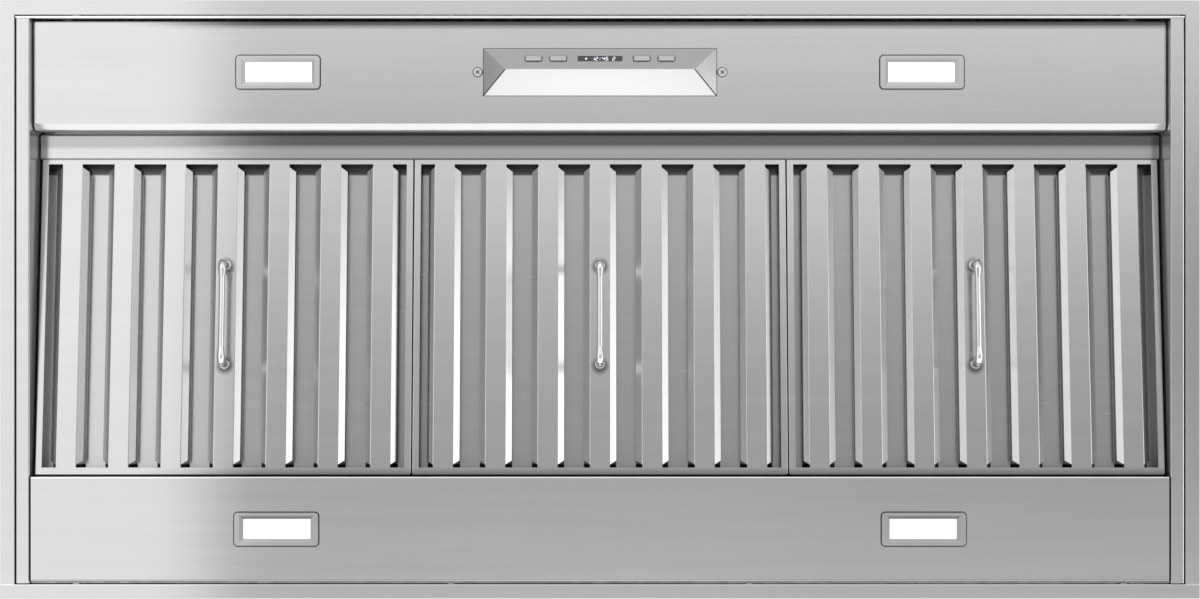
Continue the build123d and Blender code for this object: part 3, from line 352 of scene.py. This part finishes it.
def lit_window(centre_y, rim):
    """Light inside the window of a lens and a dull rim around it."""
    def apply(add, colour):
        x, half_x, half_y = LENS_WINDOW
        along = away(add, away(add, axis(add, "X"), 0.0), x)
        across = away(add, axis(add, "Y"), centre_y)
        for value, half in ((along, half_x), (across, half_y)):
            start, end = (half + step for step in LENS_EDGE)
            colour = dimmed(add, colour, grow(add, value, start, end, 1.0, rim))
        return colour
    return apply


def shaded(add, colour, shades):
    """A colour after all of the shades."""
    for apply in shades:
        colour = apply(add, colour)
    return colour


# ---- Materials ----
def brushed(name, dark=0.55, light=0.60, rough=(0.13, 0.19), shades=(), metallic=1.0, wall_metallic=None,
            end_metallic=None, slope_rough=None):
    """Sheet steel with a fine grain along X: colour, roughness and bump follow the same streaks. wall_metallic is
    for its upright faces, end_metallic for the strips at the two ends of the hood, and slope_rough for its slopes."""
    made, shader, add = material(name)
    fine = noise(add, FINE_STREAKS, detail=3.0)
    grain = blend(add, fine, noise(add, WIDE_STREAKS, detail=2.0), share=0.5)
    shade = blend(add, grain, noise(add, SHEET_CLOUDS, detail=2.0), share=0.25)
    matt = ramp(add, grain, *rough)
    if slope_rough is not None:
        matt = upright(add, matt, slope_rough, *SLOPE_TURN)
    if wall_metallic is not None:
        metallic = upright(add, metallic, wall_metallic)
    if end_metallic is not None:
        metallic = grow(add, away(add, axis(add, "X"), 0.0), *END_STRIP, metallic, end_metallic)
    feed(shader, {
        "Base Color": shaded(add, tone(add, shade, grey(dark), grey(light)), shades),
        "Metallic": metallic,
        "Roughness": matt,
        "Normal": bump(add, fine, strength=0.12, depth=0.00002),
        "Tangent": add("ShaderNodeCombineXYZ", {"X": 1.0}).outputs["Vector"],
        "Anisotropic": 0.5,
        "Anisotropic Rotation": 0.25,
    })
    return made


def galvanised(name):
    """Zinc-coated sheet: soft spangles of slightly different tone."""
    made, shader, add = material(name)
    cells = add("ShaderNodeTexVoronoi", {"Vector": coordinates(add, SPANGLES), "Scale": 1.0}).outputs["Color"]
    split = add("ShaderNodeSeparateColor", {"Color": cells})
    shade = blend(add, split.outputs["Red"], noise(add, SPANGLE_CLOUDS, detail=3.0), share=0.45)
    feed(shader, {
        "Base Color": tone(add, shade, grey(0.44, -0.01), grey(0.60, -0.01), start=0.1, end=0.9),
        "Metallic": 1.0,
        "Roughness": ramp(add, split.outputs["Green"], 0.30, 0.46, start=0.0, end=1.0),
        "Normal": bump(add, noise(add, ZINC_SPOTS), strength=0.1, depth=0.00003),
    })
    return made


def plain_metal(name, dark, light, rough, spots=METAL_SPOTS, depth=0.00002, shades=()):
    """Small metal pieces: fine tumbled grain, with a few duller patches."""
    made, shader, add = material(name)
    fine = noise(add, spots)
    shade = blend(add, fine, noise(add, SMALL_CLOUDS, detail=2.0), share=0.5)
    feed(shader, {
        "Base Color": shaded(add, tone(add, shade, grey(dark), grey(light)), shades),
        "Metallic": 1.0,
        "Roughness": ramp(add, shade, *rough),
        "Normal": bump(add, fine, strength=0.1, depth=depth),
    })
    return made


def moulded(name, dark, light, rough, coat=0.0):
    """Plastic or paint: fine texture, nearly even colour."""
    made, shader, add = material(name)
    fine = noise(add, PLASTIC_SPOTS)
    shade = blend(add, fine, noise(add, PLASTIC_CLOUDS, detail=2.0), share=0.6)
    feed(shader, {
        "Base Color": tone(add, shade, dark, light),
        "Roughness": ramp(add, fine, *rough),
        "Normal": bump(add, fine, strength=0.15, depth=0.00003),
        "Coat Weight": coat,
    })
    return made


def glowing(name, dark, light, strength, shades=()):
    """A lit surface whose light is a little weaker between its brighter spots."""
    made, shader, add = material(name)
    cloud = noise(add, SMALL_CLOUDS, detail=2.0)
    colour = shaded(add, tone(add, cloud, dark, light), shades)
    feed(shader, {
        "Base Color": colour,
        "Emission Color": colour,
        "Emission Strength": strength,
        "Roughness": ramp(add, cloud, 0.35, 0.45),
    })
    return made


# Painted shade where walls close in around a surface, in corners and joins
seam_shade = shade_by_walls(reach=0.0018, darkest=0.05, start=0.72, end=0.97)
panel_seam_shade = shade_by_walls(reach=0.0012, darkest=0.02, start=0.70, end=0.97)

# Finishes by the names that the part's record gives its pieces
finishes = {
    # Painted shade in the slots, along the rear of the face fading in from the left, and round the handles' feet
    "filter_steel": brushed("steel_filter", slope_rough=0.25, shades=[
        shade_by_walls(reach=0.05, darkest=0.30, start=0.0, end=0.30),
        shade_band("Y", FACE_REAR_SHADE, darkest=0.5, fade=SHADE_FADE),
        handle_shade(darkest=0.34, near=0.0045, far=0.0105),
    ]),
    "galvanised_steel": galvanised("steel_galvanised"),
    "spring_steel": plain_metal("steel_spring", 0.42, 0.52, rough=(0.25, 0.38)),
    # Painted shade in the screws' recesses
    "screw_steel": plain_metal("steel_screw", 0.62, 0.72, rough=(0.18, 0.28), shades=[
        shade_by_walls(reach=0.002, darkest=0.05, start=0.55, end=0.90),
    ]),
    "chrome": plain_metal("chrome_polished", 0.78, 0.84, rough=(0.05, 0.11), depth=0.000004),
    # Painted shade in its corners, along its foot and on its two ends, darker on the left end
    "console_satin": plain_metal("console_paint", 0.50, 0.54, rough=(0.17, 0.23), spots=PAINT_SPOTS, shades=[
        seam_shade,
        shade_band("Z", CONSOLE_FOOT_SHADE, darkest=0.10),
        hips(half=0.0010, darkest=0.05),
        facing_left(0.80),
        facing_right(0.91),
    ]),
    # Painted shade in the buttons' corners
    "button_satin": plain_metal("button_paint", 0.64, 0.70, rough=(0.26, 0.34), spots=PAINT_SPOTS, shades=[
        shade_by_walls(reach=0.002, darkest=0.35, start=0.3, end=0.7),
    ]),
    "display_dark": moulded("display_glass", (0.05, 0.05, 0.052), (0.075, 0.075, 0.08), rough=(0.12, 0.18), coat=0.4),
    "board_green": moulded("board_mask", (0.01, 0.10, 0.035), (0.02, 0.15, 0.05), rough=(0.35, 0.5)),
    "motor_black": moulded("motor_paint", (0.02, 0.02, 0.022), (0.045, 0.045, 0.048), rough=(0.4, 0.55)),
}

# Finishes of single pieces, by node
# Painted shade in corners and on the upright faces
side_finish = brushed("steel_side", wall_metallic=0.5, shades=[seam_shade, edges(darkest=0.48, start=0.2, end=0.6)])
own_finish = {
    # Painted shadow of the front wall along the front of the panel, fading in from the left, and painted shade in its
    # corners
    "front_panel": brushed("steel_panel", wall_metallic=0.0, shades=[
        panel_seam_shade,
        shade_band("Y", PANEL_SHADE, darkest=0.45, fade=SHADE_FADE),
        shade_band("Y", PANEL_SOFT_SHADE, darkest=0.45, fade=SHADE_FADE),
    ]),
    # Painted shadow of the panel's return across the front of the ledge, painted shade over the rest fading in from the
    # left, and painted shade in the gaps at its front and rear edges
    "filter_ledge": brushed("steel_ledge", shades=[
        shade_band("Y", LEDGE_SHADE, darkest=0.50, fade=LEDGE_FADE),
        shade_band("Y", LEDGE_SOFT_SHADE, darkest=0.88, fade=LEDGE_FADE),
        shade_band("Y", LEDGE_SOFT_SHADE, darkest=0.70),
        shade_band("Y", LEDGE_WHOLE_SHADE, darkest=0.84, fade=LEDGE_FADE),
        line("Y", LEDGE_SHADE_LINE, half=0.0006, level=0.15),
        shade_band("Y", LEDGE_JOINT_SHADE, darkest=0.40),
    ]),
    "side_panel_left": side_finish,
    "side_panel_right": side_finish,
    # Painted highlight along its rounded front edge, and painted shade in its corners, along its rear fold, in the gap
    # at the rim and at its two ends
    "rear_panel": brushed("steel_rear_panel", shades=[
        panel_seam_shade,
        line("Y", REAR_PANEL_EDGE_HIGHLIGHT, half=0.0008, level=1.6),
        line("Y", REAR_PANEL_FOLD_SHADE, half=0.0008, level=0.6),
        shade_band("Y", REAR_PANEL_JOINT_SHADE, darkest=0.10),
        ends(REAR_PANEL_END_SHADE, darkest=0.05),
    ]),
    # Painted shade in its corners and a painted highlight along its rear edge
    "trim_frame": brushed("steel_rim", shades=[seam_shade, line("Y", RIM_REAR_HIGHLIGHT, half=0.0010, level=1.4)]),
    # Painted shade in its corners and a painted highlight along its edge
    "front_wall": brushed("steel_front_wall", shades=[
        shade_by_walls(reach=0.0018, darkest=0.25, start=0.72, end=0.97),
        line("Y", FRONT_WALL_HIGHLIGHT, half=0.0014, level=1.65),
    ]),
    # Painted shade in the screws' crosses and round their heads
    "console_screws": plain_metal("steel_console_screw", 0.62, 0.70, rough=(0.18, 0.28), shades=[
        recess(SCREW_PLACE, radius=0.0024, darkest=0.02),
        shade_by_walls(reach=0.001, darkest=0.4, start=0.55, end=0.90),
    ]),
}

# Each row of lamps: its name, the y of its middle, and the levels of the lens's rim and of the painted light or shade
# on the bezel's wall faces, lighter at the front and darker at the rear
for row, centre_y, rim, lip_light in (("front", -0.2246, 0.27, 1.25), ("rear", 0.2254, 0.22, 0.36)):
    for side in ("left", "right"):
        # Painted shade on the bezel's rounded and sloped faces, painted light or shade on its faces that turn to the
        # wall, and painted shade on left bezels' faces that turn left
        shades = [edges(darkest=0.02, start=0.84, end=0.975), facing("Y", lip_light, *FACING_TURN)]
        if side == "left":
            shades.append(facing_left(0.6))
        own_finish[f"lamp_{row}_{side}_bezel"] = plain_metal(
            f"bezel_{row}_{side}", 0.55, 0.59, rough=(0.14, 0.20), spots=PAINT_SPOTS, shades=shades)
        own_finish[f"lamp_{row}_{side}_lens"] = glowing(
            f"lens_{row}_{side}", (0.97, 0.97, 0.96), (1.0, 1.0, 1.0), 1.05, shades=[lit_window(centre_y, rim)])

# Painted shade in the slots, deeper from the left towards the middle and right, and at the front and rear ends of the
# slots
baffle_finish = brushed("steel_baffle", 0.54, 0.59, rough=(0.20, 0.28), metallic=0.8, end_metallic=0.2, shades=[
    shade_by_walls(reach=0.03, darkest=0.35, start=0.0, end=0.20),
    shade_by_walls(reach=0.05, darkest=0.80, start=0.90, end=1.0, fade=SHADE_FADE),
    shade_band("Y", BAFFLE_FRONT_SHADE, darkest=0.15),
    shade_band("Y", BAFFLE_REAR_SHADE, darkest=0.02, sloping_only=True),
])
# Painted shade in its corners and over its front end
frame_finish = brushed("steel_back_frame", 0.52, 0.58, metallic=0.6, shades=[
    seam_shade,
    shade_band("Y", FRAME_SHADE, darkest=0.25),
])
for side in ("left", "centre", "right"):
    own_finish[f"filter_{side}_baffles"] = baffle_finish
    own_finish[f"filter_{side}_back_frame"] = frame_finish


# ---- Objects ----
def sheet(name, corners, finish):
    """A new flat object with four corners."""
    mesh = bpy.data.meshes.new(name)
    mesh.from_pydata(corners, [], [(0, 1, 2, 3)])
    mesh.materials.append(finish)
    return bpy.data.objects.new(name, mesh)


def corners_of(half_x, half_y, level=0.0):
    """The corners of a level rectangle about the origin."""
    return [(x * half_x, y * half_y, level) for x, y in ((-1, -1), (1, -1), (1, 1), (-1, 1))]


def piece(made, body):
    """Makes an object a piece of the part that rides on a body."""
    bpy.context.scene.collection.objects.link(made)
    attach(made, body)


# The least share of a face's normal along a direction with which the face looks along it
LOOKS_ALONG = 0.6


def main_face(node, direction):
    """Centre and normal of the largest flat face of a node that looks along a direction, at the node's foremost
    point."""
    sums = {}
    for polygon in nodes[node].data.polygons:
        if polygon.normal.dot(direction) < LOOKS_ALONG:
            continue
        key = tuple(round(part, 2) for part in polygon.normal)
        area, centre = sums.get(key, (0.0, Vector()))
        sums[key] = (area + polygon.area, centre + polygon.center * polygon.area)
    key = max(sums, key=lambda way: sums[way][0])
    area, centre = sums[key]
    centre, normal = centre / area, Vector(key).normalized()
    reach = max((vertex.co - centre).dot(normal) for vertex in nodes[node].data.vertices)
    return centre + normal * reach, normal


# ---- Display: seven-segment figures that light up on the window ----
SEGMENTS = {"1": "bc", "2": "abged", "4": "fgbc", "5": "afgcd"}
FIGURES = ". 12:45 2"
FIGURE_HEIGHT = 0.0038
FIGURE_WIDTH = 0.0022
FIGURE_STEP = 0.0034
STROKE = 0.00055
STROKE_POINT = 0.4
SLANT = 0.12
FIGURE_LIFT = 0.00003
DISPLAY_LOOK = Vector((0, -0.5, -0.85))


def figure_mesh(text):
    """Flat bars of the figures, centred, in the X-Y plane."""
    mesh = bmesh.new()
    half_w, half_h = FIGURE_WIDTH / 2, FIGURE_HEIGHT / 2
    bars = {
        "a": (-half_w, half_h, half_w, half_h),
        "g": (-half_w, 0, half_w, 0),
        "d": (-half_w, -half_h, half_w, -half_h),
        "f": (-half_w, 0, -half_w, half_h),
        "b": (half_w, 0, half_w, half_h),
        "e": (-half_w, -half_h, -half_w, 0),
        "c": (half_w, -half_h, half_w, 0),
    }

    def bar(x0, y0, x1, y1):
        """A bar with pointed ends."""
        start, end = Vector((x0, y0)), Vector((x1, y1))
        along = (end - start).normalized() * STROKE / 2
        side = Vector((-along.y, along.x))
        start, end = start + along * STROKE_POINT, end - along * STROKE_POINT
        points = [start, start + along + side, end - along + side,
                  end, end - along - side, start + along - side]
        mesh.faces.new([mesh.verts.new((p.x + SLANT * p.y, p.y, 0)) for p in points])

    x = -FIGURE_STEP * (len(text) - 1) / 2
    for sign in text:
        before = len(mesh.verts)
        if sign == ":":
            for y in (-half_h / 2, half_h / 2):
                bar(-STROKE, y, STROKE, y)
        elif sign == ".":
            for y in (-STROKE, 0, STROKE):
                bar(-half_w, y, half_w, y)
        elif sign != " ":
            for name in SEGMENTS[sign]:
                bar(*bars[name])
        mesh.verts.ensure_lookup_table()
        for vertex in mesh.verts[before:]:
            vertex.co.x += x
        x += FIGURE_STEP
    made = bpy.data.meshes.new("display_figures")
    mesh.to_mesh(made)
    return made


centre, normal = main_face("display_window", DISPLAY_LOOK)
right = Vector((1, 0, 0))
place = Matrix((right, normal.cross(right), normal)).transposed().to_4x4()
place.translation = centre + normal * FIGURE_LIFT
figures = figure_mesh(FIGURES)
figures.transform(place)
figures.materials.append(glowing("figures_lit", (0.80, 0.86, 0.95), (0.9, 0.95, 1.0), 1.0))
piece(bpy.data.objects.new("display_figures", figures), "hood")

# ---- Console: filler over the thin joint in its rear face ----
# Its two long sides, each with half a length and a share of the way from the ridge to the base
ROOF_BASE = Vector((0, -0.2008, CONSOLE_BASE))
ROOF_RIDGE = Vector((0, -0.2264, -0.0009))
FILLER_SIDES = ((0.1096, 0.735), (0.1104, 0.800))
FILLER_LIFT = 0.00002

outward = (ROOF_BASE - ROOF_RIDGE).cross(right).normalized()
outward *= -1 if outward.z > 0 else 1
low_side, high_side = (
    [ROOF_RIDGE.lerp(ROOF_BASE, share) + outward * FILLER_LIFT + right * x for x in (-half, half)]
    for half, share in FILLER_SIDES
)
piece(sheet("console_filler", low_side + high_side[::-1], finishes["console_satin"]), "hood")

# ---- Finishes on the nodes ----
node_slot = {row["node"]: row["material_slot"] for row in frame["record"]["subparts"]}
for name, node in nodes.items():
    node.data.materials.clear()
    node.data.materials.append(own_finish.get(name) or finishes[node_slot[name]])

# ---- Camera ----
camera_data = bpy.data.cameras.new("camera")
camera_data.sensor_width = SENSOR
camera_data.lens = SENSOR * CAMERA_DISTANCE / VIEW_WIDTH
camera = bpy.data.objects.new("camera", camera_data)
camera.location = (0, 0, RIM_FACE - CAMERA_DISTANCE)
camera.rotation_euler = (pi, 0, 0)
bpy.context.scene.collection.objects.link(camera)
bpy.context.scene.camera = camera


# ---- Studio ----
def show_panel(panel):
    """Puts a panel of light in the scene, where mirrors show it and the camera doesn't."""
    bpy.context.scene.collection.objects.link(panel)
    panel.visible_camera = False
    panel.visible_shadow = False


def soft_box(name, centre, size, direction, strength, soft):
    """A light panel with soft edges. direction is the way that its light goes, along an axis; soft is the share of
    each half that fades."""
    made, add = bare_material(name)
    shares = [
        grow(add, away(add, axis(add, side), 0.0), 1.0, 1.0 - fade, 0.0, 1.0)
        for side, fade in zip("XY", soft)
    ]
    glow = add("ShaderNodeEmission", {"Color": (1, 1, 1, 1), "Strength": strength})
    mixed = add("ShaderNodeMixShader", {
        "Fac": compute(add, "MULTIPLY", *shares),
        1: add("ShaderNodeBsdfTransparent").outputs[0],
        2: glow.outputs[0],
    })
    add("ShaderNodeOutputMaterial", {"Surface": mixed.outputs[0]})

    out = Vector(direction)
    side = Vector((1, 0, 0)) if out.y else Vector((0, 1, 0))
    panel = sheet(name, corners_of(1, 1), made)
    place = Matrix((side * size[0] / 2, out.cross(side) * size[1] / 2, out)).transposed().to_4x4()
    place.translation = Vector(centre)
    panel.matrix_world = place
    show_panel(panel)


def light_table(name, level, half_x, half_y, columns):
    """A wide panel of light under the hood. columns lists (x, stops) from left to right, and stops lists
    (y, strength). The strength changes smoothly between stops and between columns."""
    made, add = bare_material(name)
    along = ramp(add, axis(add, "Y"), 0.0, 1.0, -half_y, half_y)
    last_x = colour = None
    for x, stops in columns:
        strengths = add("ShaderNodeValToRGB", {"Fac": along})
        strengths.color_ramp.interpolation = "B_SPLINE"
        elements = strengths.color_ramp.elements
        while len(elements) < len(stops):
            elements.new(0.5)
        for element, (y, strength) in zip(elements, stops):
            element.position = (y + half_y) / (2 * half_y)
            element.color = (strength / LIGHT_SCALE,) * 3 + (1,)
        if colour is None:
            colour = strengths.outputs["Color"]
        else:
            across = grow(add, axis(add, "X"), last_x, x, 0.0, 1.0)
            inputs = {"Factor": across, 6: colour, 7: strengths.outputs["Color"]}
            colour = add("ShaderNodeMix", inputs, data_type="RGBA").outputs[2]
        last_x = x
    glow = add("ShaderNodeEmission", {"Color": colour, "Strength": LIGHT_SCALE})
    add("ShaderNodeOutputMaterial", {"Surface": glow.outputs[0]})
    show_panel(sheet(name, corners_of(half_x, half_y, level), made))


def area_light(name, location, target, size, energy):
    data = bpy.data.lights.new(name, "AREA")
    data.shape = "RECTANGLE"
    data.size, data.size_y = size
    data.energy = energy
    light = bpy.data.objects.new(name, data)
    light.location = location
    light.rotation_euler = (Vector(target) - Vector(location)).to_track_quat("-Z", "Y").to_euler()
    bpy.context.scene.collection.objects.link(light)


# Strengths of the light table along Y. LIGHT_SCALE is the strength of a stop whose colour is white.
LIGHT_SCALE = 2.5
MIDDLE_STOPS = [
    (-1.2, 1.10), (-0.60, 1.15), (-0.376, 1.04), (-0.264, 0.85), (-0.185, 0.73), (-0.08, 0.62), (0.0, 0.565),
    (0.15, 0.59), (0.238, 0.645), (0.356, 0.715), (0.46, 0.86), (0.60, 1.10), (1.2, 1.20),
]
RIGHT_STOPS = [
    (-1.2, 1.10), (-0.60, 1.15), (-0.376, 1.04), (-0.264, 0.82), (-0.185, 0.70), (-0.08, 0.58), (0.0, 0.52),
    (0.15, 0.54), (0.238, 0.585), (0.356, 0.665), (0.46, 0.83), (0.60, 1.10), (1.2, 1.20),
]
LEFT_STOPS = [(-1.2, 1.45), (-0.376, 1.42), (0.0, 1.30), (0.30, 1.25), (0.6, 1.3), (1.2, 1.4)]
light_table("table_light", level=-0.8, half_x=1.05, half_y=1.2,
            columns=[(-0.57, LEFT_STOPS), (-0.45, MIDDLE_STOPS), (-0.2, MIDDLE_STOPS), (0.8, RIGHT_STOPS)])

# Each panel of light: name, centre, size, the direction that its light goes, strength and soft shares
UP, TO_RIGHT, TO_LEFT, TO_WALL, TO_FRONT = (0, 0, 1), (1, 0, 0), (-1, 0, 0), (0, 1, 0), (0, -1, 0)
for values in (
    ("box_roof", (0.0, 0.84, -0.79), (0.56, 0.48), UP, 2.05, (0.2, 0.2)),
    ("box_left", (-1.06, -0.1, -0.70), (2.4, 0.40), TO_RIGHT, 1.4, (0.1, 0.2)),
    ("flag_left", (-1.07, -0.2, -0.27), (2.0, 0.60), TO_RIGHT, 0.40, (0.1, 0.1)),
    ("box_console", (1.05, -0.50, -0.52), (0.26, 0.20), TO_LEFT, 2.0, (0.3, 0.3)),
    ("box_front", (0.0, -1.22, -0.55), (2.1, 0.80), TO_WALL, 0.78, (0.1, 0.15)),
    ("box_right", (1.06, 0.4525, -0.40), (1.595, 0.48), TO_LEFT, 2.3, (0.11, 0.20)),
    ("box_rear", (0.0, 1.19, -0.52), (2.1, 0.90), TO_FRONT, 1.64, (0.1, 0.15)),
):
    soft_box(*values)
area_light("light_above", location=(0.6, -0.8, 3.2), target=(0, 0, 0.2), size=(3.0, 3.0), energy=45)

# Floor and backdrop: one pale sheet, far below the hood
FLOOR_LEVEL = -6.6
FLOOR_HALF = 40.0
floor_paint, shader, add = material("floor_paint")
floor_clouds = noise(add, FLOOR_CLOUDS, detail=3.0)
feed(shader, {"Base Color": tone(add, floor_clouds, grey(0.80), grey(0.84)), "Roughness": 0.8})
floor = sheet("floor", corners_of(FLOOR_HALF, FLOOR_HALF), floor_paint)
floor.location.z = FLOOR_LEVEL
bpy.context.scene.collection.objects.link(floor)

# World: pale, a little lighter overhead
world = bpy.data.worlds.new("studio")
bpy.context.scene.world = world
world.use_nodes = True
add = adder(world.node_tree)
height = component(add, add("ShaderNodeTexCoord").outputs["Generated"], "Z")
sky = tone(add, height, (0.66, 0.66, 0.67), (0.86, 0.86, 0.87), start=0.0, end=0.8)
feed(world.node_tree.nodes["Background"], {"Color": sky, "Strength": 0.9})

bpy.context.scene.view_settings.view_transform = "Standard"
